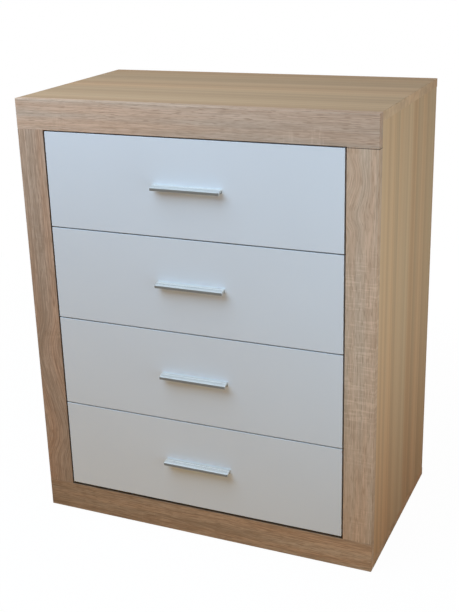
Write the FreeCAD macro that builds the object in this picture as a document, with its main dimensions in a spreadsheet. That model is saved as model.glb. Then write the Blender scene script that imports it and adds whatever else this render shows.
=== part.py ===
# Chest of four drawers: a board case behind a thick front frame, with drawers on roller runners.
# X runs to the right as seen from the front, Y to the back and Z up, in millimetres.
# The origin is on the floor, under the middle of the whole footprint, handles included.
import FreeCAD, Part
import os
import re

import Sketcher

# Driving dimensions: alias, millimetres, what it measures
SIZES = (
    ("width", 700, "case width"),
    ("depth", 400, "case depth, frame included"),
    ("case_height", 860, "case height, glides not included"),
    ("board", 16, "thickness of the case boards"),
    ("board_edge_round", 0.6, "rounding of the top board's free edges"),
    ("frame_thickness", 16, "front frame, front to back"),
    ("stile_width", 56, "width of the upright frame members"),
    ("top_rail_height", 57, "height of the frame's top rail"),
    ("bottom_rail_height", 59, "height of the frame's bottom rail"),
    ("frame_edge_round", 2, "rounding of the frame's outer edges"),
    ("joint_edge_round", 0.6, "rounding where rails, stiles and drawers meet"),
    ("back_thickness", 3, "hardboard back"),
    ("back_inset", 4, "back panel's edge in from the case side"),
    ("back_clearance", 1, "back panel clear of top and bottom boards"),
    ("glide_height", 3, "floor glide under the bottom board"),
    ("glide_diameter", 22, "floor glide"),
    ("glide_chamfer", 1, "floor glide's lower edge"),
    ("glide_setback", 35, "glide centre in from the case edges"),
    ("nail_diameter", 2.4, "glide nail"),
    ("nail_length", 12, "glide nail"),
    ("dowel_diameter", 8, "case dowels"),
    ("dowel_length", 32, "case dowels"),
    ("dowel_seat", 10, "dowel's depth in a board's face"),
    ("dowel_setback", 60, "first dowel in from the end of a joint"),
    ("dowel_end_space", 1, "hole deeper than the dowel, at each end"),
    ("hole_clearance", 0.1, "radial clearance of dowels, nails and threads"),
    ("drawer_count", 4, "equal drawers"),
    ("front_thickness", 16, "drawer front"),
    ("front_edge_round", 0.5, "rounding of the drawer fronts"),
    ("gap_top", 2.5, "top drawer to top rail"),
    ("gap_between", 2.5, "drawer to drawer"),
    ("gap_side", 3, "drawer front to stile"),
    ("gap_bottom", 5, "bottom drawer to bottom rail"),
    ("box_board", 12, "drawer box sides and back"),
    ("box_edge_round", 1, "top edges of the drawer box"),
    ("box_lift", 18, "box bottom edge above the front's bottom edge"),
    ("box_top_drop", 34, "box top edge below the front's top edge"),
    ("box_rear_space", 31, "space behind the drawer box"),
    ("bottom_thickness", 3, "hardboard drawer bottom"),
    ("bottom_lift", 10, "drawer bottom above the box's bottom edge"),
    ("groove_depth", 6, "groove that holds the drawer bottom"),
    ("groove_clearance", 0.2, "drawer bottom in its groove"),
    ("handle_centres", 128, "between the handle's screws"),
    ("handle_end", 4, "screw axis to the handle's end"),
    ("handle_reach", 15.5, "handle out from the drawer front"),
    ("handle_rise", 2.1, "handle's screws above the middle of the drawer front"),
    ("handle_wall", 2.2, "handle's wall"),
    ("handle_slope", 8.8, "depth of the handle's sloped front part"),
    ("handle_slope_drop", 3, "fall of the handle's sloped front part"),
    ("handle_lip", 5.6, "height of the handle's front lip"),
    ("handle_foot", 8, "height of the handle's mounting flange"),
    ("ridge_round", 4, "handle's bright ridge, where the slope begins"),
    ("nose_round", 2, "handle's front edge, where the lip begins"),
    ("lip_chamfer", 0.6, "lower front edge of the handle's lip"),
    ("boss_diameter", 6.4, "threaded boss behind the handle's ends"),
    ("boss_length", 8, "threaded boss, out from the drawer front"),
    ("screw_diameter", 4, "handle screw"),
    ("screw_clearance", 0.5, "radial clearance in the drawer front"),
    ("screw_engagement", 6, "screw in the handle's boss"),
    ("head_diameter", 8, "handle screw head"),
    ("head_height", 2.6, "handle screw head"),
    ("runner_space", 12.5, "drawer box to inner side, for the runners"),
    ("runner_setback", 2, "runners behind the drawer front"),
    ("runner_gauge", 1, "runner sheet steel"),
    ("runner_leg", 10, "runner leg under the drawer side"),
    ("runner_lip", 2.6, "turned edges of the runners"),
    ("runner_hole", 4.5, "screw holes in the runners"),
    ("runner_hole_end", 45, "first screw hole from the runner's end"),
    ("track_drop", 1.5, "roller track below the box's bottom edge"),
    ("roller_diameter", 18, "nylon rollers"),
    ("roller_width", 5.5, "nylon rollers"),
    ("roller_edge", 0.8, "chamfer of the roller's tread"),
    ("roller_rim", 1.8, "roller's rim and hub walls"),
    ("roller_recess", 1.2, "roller's hollow faces"),
    ("roller_end_space", 12, "axle from the runner's end"),
    ("roller_cutaway", 24, "case runner opened around its roller"),
    ("axle_diameter", 5, "roller rivets"),
    ("axle_clearance", 0.05, "radial clearance of a roller on its rivet"),
    ("axle_play", 0.2, "end play of a roller on its rivet"),
    ("rivet_head", 8, "rivet head and shoulder diameter"),
    ("rivet_head_height", 1, "rivet head"),
    ("rolling_gap", 0.3, "roller to the track that it meets"),
    ("channel_clearance", 0.9, "roller in the height of the case runner"),
    ("nesting_clearance", 1, "drawer runner's lip above the case runner"),
    ("side_clearance", 0.5, "roller faces to the turned edges"),
    ("web_clearance", 0.9, "drawer runner to the case runner's web"),
)

# Dimensions that follow from the driving ones
WORKED = (
    ("half_width", "width / 2"),
    ("front_y", "(handle_reach - depth) / 2"),
    ("back_y", "(handle_reach + depth) / 2"),
    ("frame_back_y", "front_y + frame_thickness"),
    ("case_back_y", "back_y - back_thickness"),
    ("slab_depth", "depth - frame_thickness"),
    ("upright_depth", "slab_depth - back_thickness"),
    ("upright_height", "case_height - 2 * board"),
    ("case_top_z", "glide_height + case_height"),
    ("opening_width", "width - 2 * stile_width"),
    ("opening_height", "case_height - top_rail_height - bottom_rail_height"),
    ("outer_upright_x", "half_width - board / 2"),
    ("inner_upright_x", "(opening_width + board) / 2"),
    ("front_width", "opening_width - 2 * gap_side"),
    ("gaps_height", "gap_top + gap_bottom + (drawer_count - 1) * gap_between"),
    ("front_height", "(opening_height - gaps_height) / drawer_count"),
    ("drawer_pitch", "front_height + gap_between"),
    ("bottom_drawer_z", "glide_height + bottom_rail_height + gap_bottom"),
    ("front_back_y", "front_y + front_thickness"),
    ("box_length", "slab_depth + frame_thickness - front_thickness - back_thickness - box_rear_space"),
    ("box_back_y", "front_back_y + box_length"),
    ("box_width", "opening_width - 2 * runner_space"),
    ("box_inner_width", "box_width - 2 * box_board"),
    ("box_height", "front_height - box_lift - box_top_drop"),
    ("bottom_z", "box_lift + bottom_lift"),
    ("groove_height", "bottom_thickness + groove_clearance"),
    ("bottom_tongue", "groove_depth - groove_clearance"),
    ("handle_length", "handle_centres + 2 * handle_end"),
    ("handle_z", "front_height / 2 + handle_rise"),
    ("roller_radius", "roller_diameter / 2"),
    ("channel_top", "roller_diameter + channel_clearance - track_drop"),
    ("flange_level", "channel_top + runner_gauge + nesting_clearance + runner_lip"),
    ("case_axle_level", "flange_level - rolling_gap - roller_radius"),
    ("drawer_axle_level", "roller_radius + rolling_gap - track_drop"),
    ("flange_reach", "runner_space - runner_gauge - web_clearance"),
    ("roller_outer", "flange_reach - runner_gauge - side_clearance"),
    ("roller_inner", "roller_outer - roller_width"),
    ("runner_y", "front_back_y + runner_setback"),
    ("drawer_runner_length", "box_length - runner_setback"),
    ("case_axle_y", "runner_y + roller_end_space"),
    ("drawer_axle_y", "box_back_y - roller_end_space"),
)

SHEET_OF = {row[0]: "Sizes" for row in SIZES}
SHEET_OF.update({row[0]: "Worked" for row in WORKED})

TO_Y = FreeCAD.Rotation(FreeCAD.Vector(1, 0, 0), -90)
TO_Z = FreeCAD.Rotation()

# The two faces of a box that meet along an edge: axis and end
BOX_FACES = {
    "left": ("X", "Min"),
    "right": ("X", "Max"),
    "front": ("Y", "Min"),
    "back": ("Y", "Max"),
    "bottom": ("Z", "Min"),
    "top": ("Z", "Max"),
}
SAME_PLACE = 1e-4

doc = FreeCAD.newDocument("ChestOfDrawers")
sub_parts = []


def named(expression):
    """Return an expression with each alias written as a reference to its sheet."""
    return re.sub(r"[a-z][a-z_]*", lambda word: SHEET_OF[word[0]] + "." + word[0], expression)


def value(expression):
    """Return what an expression comes to now."""
    return float(doc.Sizes.evalExpression(named(expression)))


def bind(item, **expressions):
    """Bind properties of an object to expressions."""
    for prop, expression in expressions.items():
        item.setExpression(prop, named(expression))


def place(item, x, y, z):
    """Bind an object's position to three expressions."""
    for axis, expression in (("x", x), ("y", y), ("z", z)):
        item.setExpression("Placement.Base." + axis, named(expression))


def make_sheets():
    """Fill one sheet with the driving dimensions and one with those that follow from them."""
    sizes = doc.addObject("Spreadsheet::Sheet", "Sizes")
    for row, (alias, number, note) in enumerate(SIZES, 1):
        sizes.set(f"A{row}", note)
        sizes.set(f"B{row}", str(number))
        sizes.setAlias(f"B{row}", alias)
    worked = doc.addObject("Spreadsheet::Sheet", "Worked")
    for row, (alias, expression) in enumerate(WORKED, 1):
        worked.set(f"A{row}", alias.replace("_", " "))
        worked.setAlias(f"B{row}", alias)
        worked.set(f"B{row}", "=" + named(expression))
    doc.recompute()


def keep(item, label):
    """Mark an object as a sub-part that is written to a file of its own."""
    item.Label = label
    sub_parts.append(item)
    return item


def new_sketch(body, name, plane):
    """Return a new sketch on one of a body's own origin planes."""
    sketch = body.newObject("Sketcher::SketchObject", name)
    support = [feature for feature in body.Origin.OriginFeatures if feature.Role == plane]
    sketch.AttachmentSupport = [(support[0], "")]
    sketch.MapMode = "FlatFace"
    return sketch


def fix_point(sketch, geometry, point, x, y):
    """Bind one point of a sketch to its distances from the sketch's origin."""
    for kind, expression in (("DistanceX", x), ("DistanceY", y)):
        distance = Sketcher.Constraint(kind, -1, 1, geometry, point, value(expression))
        index = sketch.addConstraint(distance)
        sketch.setExpression(f"Constraints[{index}]", named(expression))


def outline(body, name, plane, corners):
    """Return a sketch of a closed outline through corners given as pairs of expressions."""
    sketch = new_sketch(body, name, plane)
    points = [FreeCAD.Vector(value(x), value(y), 0) for x, y in corners]
    count = len(points)
    for index in range(count):
        sketch.addGeometry(Part.LineSegment(points[index], points[(index + 1) % count]), False)
    for index in range(count):
        sketch.addConstraint(Sketcher.Constraint("Coincident", index, 2, (index + 1) % count, 1))
    for index, (x, y) in enumerate(corners):
        fix_point(sketch, index, 1, x, y)
    return sketch


def circles(body, name, plane, centres, radius):
    """Return a sketch of equal circles around centres given as pairs of expressions."""
    sketch = new_sketch(body, name, plane)
    for index, (x, y) in enumerate(centres):
        centre = FreeCAD.Vector(value(x), value(y), 0)
        sketch.addGeometry(Part.Circle(centre, FreeCAD.Vector(0, 0, 1), value(radius)), False)
        fix_point(sketch, index, 3, x, y)
        constraint = sketch.addConstraint(Sketcher.Constraint("Radius", index, value(radius)))
        sketch.setExpression(f"Constraints[{constraint}]", named(radius))
    return sketch


def extrude(body, kind, name, sketch, length, reverse=False):
    """Add a Pad or a Pocket of a sketch to a body."""
    feature = body.newObject("PartDesign::" + kind, name)
    feature.Profile = sketch
    feature.Reversed = reverse
    bind(feature, Length=length)
    doc.recompute()
    return feature


def turned(name, plane, axis, corners):
    """Return a body turned from an outline about an axis of its sketch."""
    body = doc.addObject("PartDesign::Body", name)
    sketch = outline(body, name + "_section", plane, corners)
    feature = body.newObject("PartDesign::Revolution", name + "_turned")
    feature.Profile = sketch
    feature.ReferenceAxis = (sketch, [axis])
    feature.Angle = 360
    doc.recompute()
    return body


def profile(name, plane, corners, length, reverse=False):
    """Return a body of constant section."""
    body = doc.addObject("PartDesign::Body", name)
    sketch = outline(body, name + "_section", plane, corners)
    extrude(body, "Pad", name + "_length", sketch, length, reverse)
    return body


def lies_on(edge, face, whole):
    """Return whether an edge lies in the named face of a bounding box."""
    axis, end = BOX_FACES[face]
    level = getattr(whole, axis + end)
    ends = (getattr(edge.BoundBox, axis + "Min"), getattr(edge.BoundBox, axis + "Max"))
    return all(abs(end_level - level) < SAME_PLACE for end_level in ends)


def round_chosen(body, name, radius, chosen):
    """Round the edges of a body that a test chooses."""
    base = body.Tip
    edges = [f"Edge{number}" for number, edge in enumerate(base.Shape.Edges, 1) if chosen(edge)]
    fillet = body.newObject("PartDesign::Fillet", name)
    fillet.Base = (base, edges)
    bind(fillet, Radius=radius)
    doc.recompute()


def round_edges(body, name, radius, pairs):
    """Round the edges of a body that lie in both faces of each pair, such as "front top"."""
    whole = body.Tip.Shape.BoundBox

    def in_a_pair(edge):
        return any(all(lies_on(edge, face, whole) for face in pair.split()) for pair in pairs)

    round_chosen(body, name, radius, in_a_pair)


def round_corner(body, name, radius, y, z):
    """Round the edge that a corner of a section in the YZ plane makes along the whole of a body."""
    corner = FreeCAD.Vector(0, value(y), value(z))

    def at_corner(edge):
        aside = [end.Point - corner for end in edge.Vertexes]
        return all(abs(offset.y) < SAME_PLACE and abs(offset.z) < SAME_PLACE for offset in aside)

    round_chosen(body, name, radius, at_corner)


def board(name, size, corner, rounds=()):
    """Return a board as a body: its size, its lower left front corner and its rounded edges."""
    length, width, height = size
    corners = (("0", "0"), (length, "0"), (length, width), ("0", width))
    body = profile(name, "XY_Plane", corners, height)
    place(body, *corner)
    for number, (radius, pairs) in enumerate(rounds, 1):
        round_edges(body, f"{name}_round_{number}", radius, pairs)
    return body


def cylinder(name, turn, radius, length, x, y, z):
    """Return a cylinder that starts at a point and runs along the turned axis."""
    item = doc.addObject("Part::Cylinder", name)
    item.Placement = FreeCAD.Placement(FreeCAD.Vector(), turn)
    bind(item, Radius=radius, Height=length)
    place(item, x, y, z)
    return item


def block(name, size, corner):
    """Return a plain box with its lower left front corner at a point."""
    item = doc.addObject("Part::Box", name)
    bind(item, Length=size[0], Width=size[1], Height=size[2])
    place(item, *corner)
    return item


def group(name, items):
    """Return several objects as one object of separate solids."""
    compound = doc.addObject("Part::Compound", name)
    compound.Links = items
    return compound


def cut(name, base, tools):
    """Return an object with tools cut from it."""
    item = doc.addObject("Part::Cut", name)
    item.Base = base
    item.Tool = group(name + "_tools", tools)
    return item


def fuse(name, items):
    """Return objects joined into one solid."""
    item = doc.addObject("Part::MultiFuse", name)
    item.Shapes = items
    return item


def copy_at(name, source, x="0", y="0", z="0"):
    """Return a copy of an object, moved."""
    item = group(name, [source])
    place(item, x, y, z)
    return item


def mirrored(name, source):
    """Return an object's opposite hand, left for right."""
    item = doc.addObject("Part::Mirroring", name)
    item.Source = source
    item.Base = FreeCAD.Vector(0, 0, 0)
    item.Normal = FreeCAD.Vector(1, 0, 0)
    return item


def pair(name, right):
    """Return an object and its opposite hand as one object of two solids."""
    return group(name, [right, mirrored(name + "_left", right)])


class Dowels:
    """The case dowels, and the holes that they need in the boards that they join."""

    def __init__(self):
        self.pegs = []
        self.holes = {}

    def add(self, turn, x, y, z, boards):
        """Set one dowel that starts at a point, and note its hole for the boards that it joins."""
        number = len(self.pegs) + 1
        radius = "dowel_diameter / 2"
        self.pegs.append(cylinder(f"Dowel_{number}", turn, radius, "dowel_length", x, y, z))
        start = {"x": x, "y": y, "z": z}
        axis = "y" if turn == TO_Y else "z"
        start[axis] += " - dowel_end_space"
        length = "dowel_length + 2 * dowel_end_space"
        hole = cylinder(f"Dowel_hole_{number}", turn, radius + " + hole_clearance", length, **start)
        for name in boards:
            self.holes.setdefault(name, []).append(hole)

    def add_case_joints(self):
        """Join the four upright boards to the top and bottom boards and to the frame."""
        uprights = (
            ("left_side", "-outer_upright_x", "frame_left_stile"),
            ("left_inner_side", "-inner_upright_x", "frame_left_stile"),
            ("right_inner_side", "inner_upright_x", "frame_right_stile"),
            ("right_side", "outer_upright_x", "frame_right_stile"),
        )
        bottom_z = "glide_height + board - dowel_seat"
        top_z = "case_top_z - board + dowel_seat - dowel_length"
        frame_y = "frame_back_y - dowel_seat"
        low_z = "glide_height + bottom_rail_height + dowel_setback"
        high_z = "case_top_z - top_rail_height - dowel_setback"
        for upright, x, stile in uprights:
            for y in ("frame_back_y + dowel_setback", "case_back_y - dowel_setback"):
                self.add(TO_Z, x, y, bottom_z, (upright, "bottom_panel"))
                self.add(TO_Z, x, y, top_z, (upright, "top_panel"))
            for z in (low_z, high_z):
                self.add(TO_Y, x, frame_y, z, (upright, stile))
        rail_end = "inner_upright_x - dowel_setback"
        for x in ("-(" + rail_end + ")", "0", rail_end):
            self.add(TO_Y, x, frame_y, "glide_height + board / 2", ("frame_bottom_rail", "bottom_panel"))
            self.add(TO_Y, x, frame_y, "case_top_z - board / 2", ("frame_top_rail", "top_panel"))


def make_glides():
    """Make the floor glides and return the holes for their nails."""
    disc = turned("Glide", "XZ_Plane", "V_Axis", (
        ("0", "0"),
        ("glide_diameter / 2 - glide_chamfer", "0"),
        ("glide_diameter / 2", "glide_chamfer"),
        ("glide_diameter / 2", "glide_height"),
        ("nail_diameter / 2", "glide_height"),
        ("nail_diameter / 2", "glide_height + nail_length"),
        ("0", "glide_height + nail_length"),
    ))
    glides = []
    holes = []
    for x in ("half_width - glide_setback", "glide_setback - half_width"):
        for y in ("front_y + glide_setback", "back_y - glide_setback"):
            number = len(glides) + 1
            glides.append(copy_at(f"Glide_{number}", disc, x, y))
            radius = "nail_diameter / 2 + hole_clearance"
            length = "nail_length + dowel_end_space"
            holes.append(cylinder(f"Nail_hole_{number}", TO_Z, radius, length, x, y, "glide_height"))
    keep(group("Glides", glides), "floor_glides")
    return holes


def make_case():
    """Make the case boards, the front frame, the back, the dowels and the glides."""
    dowels = Dowels()
    dowels.add_case_joints()
    dowels.holes["bottom_panel"] += make_glides()
    slab = ("width", "slab_depth", "board")
    upright = ("board", "upright_depth", "upright_height")
    upright_z = "glide_height + board"
    stile = ("stile_width", "frame_thickness", "opening_height")
    stile_z = "glide_height + bottom_rail_height"
    free_edges = (("board_edge_round", ("top left", "top right", "top back")),)
    outer = "frame_edge_round"
    joint = "joint_edge_round"
    pieces = {
        "top_panel": (slab, ("-half_width", "frame_back_y", "case_top_z - board"), free_edges),
        "bottom_panel": (slab, ("-half_width", "frame_back_y", "glide_height"), ()),
        "left_side": (upright, ("-half_width", "frame_back_y", upright_z), ()),
        "right_side": (upright, ("half_width - board", "frame_back_y", upright_z), ()),
        "left_inner_side": (upright, ("-opening_width / 2 - board", "frame_back_y", upright_z), ()),
        "right_inner_side": (upright, ("opening_width / 2", "frame_back_y", upright_z), ()),
        "frame_top_rail": (
            ("width", "frame_thickness", "top_rail_height"),
            ("-half_width", "front_y", "case_top_z - top_rail_height"),
            ((outer, ("front top", "front left", "front right")), (joint, ("front bottom",))),
        ),
        "frame_bottom_rail": (
            ("width", "frame_thickness", "bottom_rail_height"),
            ("-half_width", "front_y", "glide_height"),
            ((outer, ("front left", "front right")), (joint, ("front top", "front bottom"))),
        ),
        "frame_left_stile": (
            stile,
            ("-half_width", "front_y", stile_z),
            ((outer, ("front left",)), (joint, ("front right", "front top", "front bottom"))),
        ),
        "frame_right_stile": (
            stile,
            ("opening_width / 2", "front_y", stile_z),
            ((outer, ("front right",)), (joint, ("front left", "front top", "front bottom"))),
        ),
    }
    for label, (size, corner, rounds) in pieces.items():
        blank = board(label + "_blank", size, corner, rounds)
        keep(cut(label + "_drilled", blank, dowels.holes[label]), label)
    keep(group("Dowels", dowels.pegs), "case_dowels")
    back = block(
        "Back",
        ("width - 2 * back_inset", "back_thickness", "upright_height - 2 * back_clearance"),
        ("back_inset - half_width", "case_back_y", "glide_height + board + back_clearance"),
    )
    keep(back, "back_panel")


def make_drawer_front():
    """Return a drawer front with the groove for the bottom and the holes for the handle screws."""
    edges = ("front top", "front bottom", "front left", "front right")
    blank = board(
        "Front_blank",
        ("front_width", "front_thickness", "front_height"),
        ("-front_width / 2", "front_y", "0"),
        (("front_edge_round", edges),),
    )
    groove = block(
        "Front_groove",
        ("box_inner_width + 2 * groove_depth", "groove_depth", "groove_height"),
        ("-box_inner_width / 2 - groove_depth", "front_back_y - groove_depth", "bottom_z"),
    )
    holes = []
    radius = "screw_diameter / 2 + screw_clearance"
    for x in ("handle_centres / 2", "-handle_centres / 2"):
        name = f"Front_hole_{len(holes) + 1}"
        holes.append(cylinder(name, TO_Y, radius, "front_thickness", x, "front_y", "handle_z"))
    return cut("Front", blank, [groove] + holes)


def make_box_side():
    """Return the right side of a drawer box, grooved for the bottom."""
    blank = board(
        "Box_side_blank",
        ("box_board", "box_length", "box_height"),
        ("box_width / 2 - box_board", "front_back_y", "box_lift"),
        (("box_edge_round", ("top left", "top right")),),
    )
    groove = block(
        "Box_side_groove",
        ("groove_depth", "box_length", "groove_height"),
        ("box_inner_width / 2", "front_back_y", "bottom_z"),
    )
    return cut("Box_side", blank, [groove])


def make_box_back():
    """Return the back of a drawer box, which stands on the bottom between the sides."""
    return board(
        "Box_back",
        ("box_inner_width", "box_board", "box_height - bottom_lift - bottom_thickness"),
        ("-box_inner_width / 2", "box_back_y - box_board", "bottom_z + bottom_thickness"),
        (("box_edge_round", ("top front", "top back")),),
    )


def make_box_bottom():
    """Return the bottom of a drawer box, held in the grooves of front and sides."""
    return block(
        "Box_bottom",
        ("box_inner_width + 2 * bottom_tongue", "box_length + bottom_tongue", "bottom_thickness"),
        ("-box_inner_width / 2 - bottom_tongue", "front_back_y - bottom_tongue", "bottom_z"),
    )


def make_handle():
    """Return a ledge handle: a plate that slopes to a lip, with a flange and two threaded bosses."""
    top = "handle_foot / 2"
    nose = top + " - handle_slope_drop"
    lip_edge = nose + " - handle_lip"
    ridge_y = "handle_slope - handle_reach"
    nose_y = "-handle_reach"
    body = profile("Handle", "YZ_Plane", (
        ("0", top),
        (ridge_y, top),
        (nose_y, nose),
        (nose_y, lip_edge + " + lip_chamfer"),
        ("lip_chamfer - handle_reach", lip_edge),
        ("handle_wall - handle_reach", lip_edge),
        ("handle_wall - handle_reach", nose + " - handle_wall"),
        (ridge_y, top + " - handle_wall"),
        ("-handle_wall", top + " - handle_wall"),
        ("-handle_wall", "-handle_foot / 2"),
        ("0", "-handle_foot / 2"),
    ), "handle_length")
    round_corner(body, "Handle_ridge", "ridge_round", ridge_y, top)
    round_corner(body, "Handle_nose", "nose_round", nose_y, nose)
    centres = (("handle_end", "0"), ("handle_end + handle_centres", "0"))
    bosses = circles(body, "Handle_boss_circles", "XZ_Plane", centres, "boss_diameter / 2")
    extrude(body, "Pad", "Handle_bosses", bosses, "boss_length")
    radius = "screw_diameter / 2 + hole_clearance"
    threads = circles(body, "Handle_thread_circles", "XZ_Plane", centres, radius)
    extrude(body, "Pocket", "Handle_threads", threads, "screw_engagement + dowel_end_space", True)
    place(body, "-handle_length / 2", "front_y", "handle_z")
    return body


def make_handle_screws():
    """Return the two screws that hold a handle from inside the drawer."""
    screw = turned("Handle_screw", "XY_Plane", "V_Axis", (
        ("0", "-front_thickness - screw_engagement"),
        ("screw_diameter / 2", "-front_thickness - screw_engagement"),
        ("screw_diameter / 2", "0"),
        ("head_diameter / 2", "0"),
        ("head_diameter / 2", "head_height / 2"),
        ("head_diameter / 3", "head_height"),
        ("0", "head_height"),
    ))
    place(screw, "handle_centres / 2", "front_back_y", "handle_z")
    return pair("Handle_screws", screw)


def make_rivet(name, base, shoulder, head, tip):
    """Return a roller's rivet along X: shoulder, axle and head, each from one level to the next."""
    axle = "axle_diameter / 2"
    rim = "rivet_head / 2"
    corners = ((base, "0"), (base, rim), (shoulder, rim), (shoulder, axle))
    corners += ((head, axle), (head, rim), (tip, rim), (tip, "0"))
    return turned(name, "XY_Plane", "H_Axis", corners)


def runner_holes(body, name, length, level):
    """Drill the row of screw holes through a runner's upright wall."""
    centres = [(y, level) for y in ("runner_hole_end", length + " / 2", length + " - runner_hole_end")]
    sketch = circles(body, name + "_circles", "YZ_Plane", centres, "runner_hole / 2")
    extrude(body, "Pocket", name, sketch, "runner_space", True)


def make_drawer_runners():
    """Return the pair of runners on a drawer box, each with the rivet for its back roller."""
    body = profile("Drawer_runner", "XZ_Plane", (
        ("-runner_leg", "-runner_gauge"),
        ("runner_gauge", "-runner_gauge"),
        ("runner_gauge", "flange_level"),
        ("flange_reach - runner_gauge", "flange_level"),
        ("flange_reach - runner_gauge", "flange_level - runner_lip"),
        ("flange_reach", "flange_level - runner_lip"),
        ("flange_reach", "flange_level + runner_gauge"),
        ("0", "flange_level + runner_gauge"),
        ("0", "0"),
        ("-runner_leg", "0"),
    ), "drawer_runner_length", True)
    runner_holes(body, "Drawer_runner_holes", "drawer_runner_length", "flange_level / 2")
    place(body, "box_width / 2", "runner_y", "box_lift")
    inner = "roller_inner - axle_play"
    outer = "roller_outer + axle_play"
    rivet = make_rivet("Drawer_rivet", "runner_gauge / 2", inner, outer, outer + " + rivet_head_height")
    place(rivet, "box_width / 2", "drawer_axle_y", "box_lift + drawer_axle_level")
    return pair("Drawer_runners", fuse("Drawer_runner_riveted", [body, rivet]))


def make_case_runners():
    """Return the pair of runners in the case, each with the rivet for its front roller."""
    web = "runner_space - runner_gauge"
    track_lip = "roller_inner - side_clearance"
    track = "-track_drop"
    body = profile("Case_runner", "XZ_Plane", (
        ("runner_space", track + " - runner_gauge"),
        ("runner_space", "channel_top + runner_gauge"),
        ("roller_inner + side_clearance", "channel_top + runner_gauge"),
        ("roller_inner + side_clearance", "channel_top"),
        (web, "channel_top"),
        (web, track),
        (track_lip, track),
        (track_lip, track + " + runner_lip"),
        (track_lip + " - runner_gauge", track + " + runner_lip"),
        (track_lip + " - runner_gauge", track + " - runner_gauge"),
    ), "box_length", True)
    runner_holes(body, "Case_runner_holes", "box_length", "channel_top / 2")
    place(body, "box_width / 2", "runner_y", "box_lift")
    notch = block(
        "Case_runner_notch",
        (web, "roller_cutaway", "2 * runner_gauge"),
        ("box_width / 2", "runner_y", "box_lift + channel_top - runner_gauge / 2"),
    )
    opened = cut("Case_runner_opened", body, [notch])
    inner = "roller_inner - axle_play"
    outer = "roller_outer + axle_play"
    base = web + " + runner_gauge / 2"
    rivet = make_rivet("Case_rivet", base, outer, inner, inner + " - rivet_head_height")
    place(rivet, "box_width / 2", "case_axle_y", "box_lift + case_axle_level")
    return pair("Case_runners", fuse("Case_runner_riveted", [opened, rivet]))


def make_rollers(name, y, level):
    """Return a pair of rollers on rivets at a given depth and level of the box."""
    bore = "axle_diameter / 2 + axle_clearance"
    hub = bore + " + roller_rim"
    rim = "roller_radius - roller_rim"
    tread = "roller_radius"
    far = "roller_width"
    roller = turned(name + "_wheel", "XY_Plane", "H_Axis", (
        ("0", bore),
        (far, bore),
        (far, hub),
        (far + " - roller_recess", hub),
        (far + " - roller_recess", rim),
        (far, rim),
        (far, tread + " - roller_edge"),
        (far + " - roller_edge", tread),
        ("roller_edge", tread),
        ("0", tread + " - roller_edge"),
        ("0", rim),
        ("roller_recess", rim),
        ("roller_recess", hub),
        ("0", hub),
    ))
    place(roller, "box_width / 2 + roller_inner", y, "box_lift + " + level)
    return pair(name, roller)


def make_drawers():
    """Make one set of drawer pieces and runners, and set a copy of each at every drawer's level."""
    right_side = make_box_side()
    pieces = {
        "drawer_{}_front": make_drawer_front(),
        "drawer_{}_left_side": mirrored("Box_left_side", right_side),
        "drawer_{}_right_side": right_side,
        "drawer_{}_back": make_box_back(),
        "drawer_{}_bottom": make_box_bottom(),
        "drawer_{}_handle": make_handle(),
        "drawer_{}_handle_screws": make_handle_screws(),
        "drawer_{}_runners": make_drawer_runners(),
        "drawer_{}_rollers": make_rollers("Drawer_rollers", "drawer_axle_y", "drawer_axle_level"),
        "case_runners_{}": make_case_runners(),
        "case_rollers_{}": make_rollers("Case_rollers", "case_axle_y", "case_axle_level"),
    }
    count = int(value("drawer_count"))
    for number in range(1, count + 1):
        level = f"bottom_drawer_z + {count - number} * drawer_pitch"
        for label, source in pieces.items():
            keep(copy_at(f"{source.Name}_{number}", source, z=level), label.format(number))


def check_all():
    """Stop if any object failed or any sub-part is empty or faulty."""
    for item in doc.Objects:
        if "Invalid" in item.State or "Error" in item.State:
            raise RuntimeError(f"{item.Label} failed: {item.State}")
    for item in sub_parts:
        if item.Shape.isNull() or not item.Shape.isValid():
            raise RuntimeError(f"{item.Label} has no sound shape")


def write_all():
    """Write each sub-part to a file named after it."""
    os.makedirs("parts", exist_ok=True)
    for item in sub_parts:
        item.Shape.exportStep(os.path.join("parts", item.Label + ".step"))


make_sheets()
make_case()
make_drawers()
doc.recompute()
check_all()
write_all()
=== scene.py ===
"""Chest of four drawers: finishes for its solids, the fastenings that hold it, and a plain studio.

Everything is in metres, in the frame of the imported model: X to the right seen from the front,
Y to the back, Z up, with the floor at zero.
"""

import logging
import math
from abc import ABC, abstractmethod
from dataclasses import dataclass, field, replace
from enum import Enum
from functools import reduce
from typing import Any, Callable, Iterable, Mapping, Optional, Sequence, Union

import bmesh
import bpy
from mathutils import Matrix, Vector

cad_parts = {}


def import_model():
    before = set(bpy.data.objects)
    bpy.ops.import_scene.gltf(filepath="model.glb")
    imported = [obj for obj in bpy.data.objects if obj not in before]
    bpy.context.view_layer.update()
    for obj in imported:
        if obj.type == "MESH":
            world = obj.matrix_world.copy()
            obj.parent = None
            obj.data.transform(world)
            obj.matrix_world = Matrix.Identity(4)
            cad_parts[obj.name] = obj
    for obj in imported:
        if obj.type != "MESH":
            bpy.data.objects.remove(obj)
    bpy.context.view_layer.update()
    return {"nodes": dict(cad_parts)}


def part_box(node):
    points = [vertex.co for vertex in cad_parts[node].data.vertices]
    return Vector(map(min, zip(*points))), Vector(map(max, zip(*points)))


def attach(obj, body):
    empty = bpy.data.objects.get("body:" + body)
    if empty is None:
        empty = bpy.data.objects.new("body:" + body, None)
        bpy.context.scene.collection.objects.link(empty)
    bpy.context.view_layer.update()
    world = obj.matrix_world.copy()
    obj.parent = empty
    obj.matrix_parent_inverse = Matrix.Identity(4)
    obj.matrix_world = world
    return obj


LOG = logging.getLogger("chest")
DRAWER_COUNT = 4
HANDS = (-1.0, 1.0)

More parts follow.
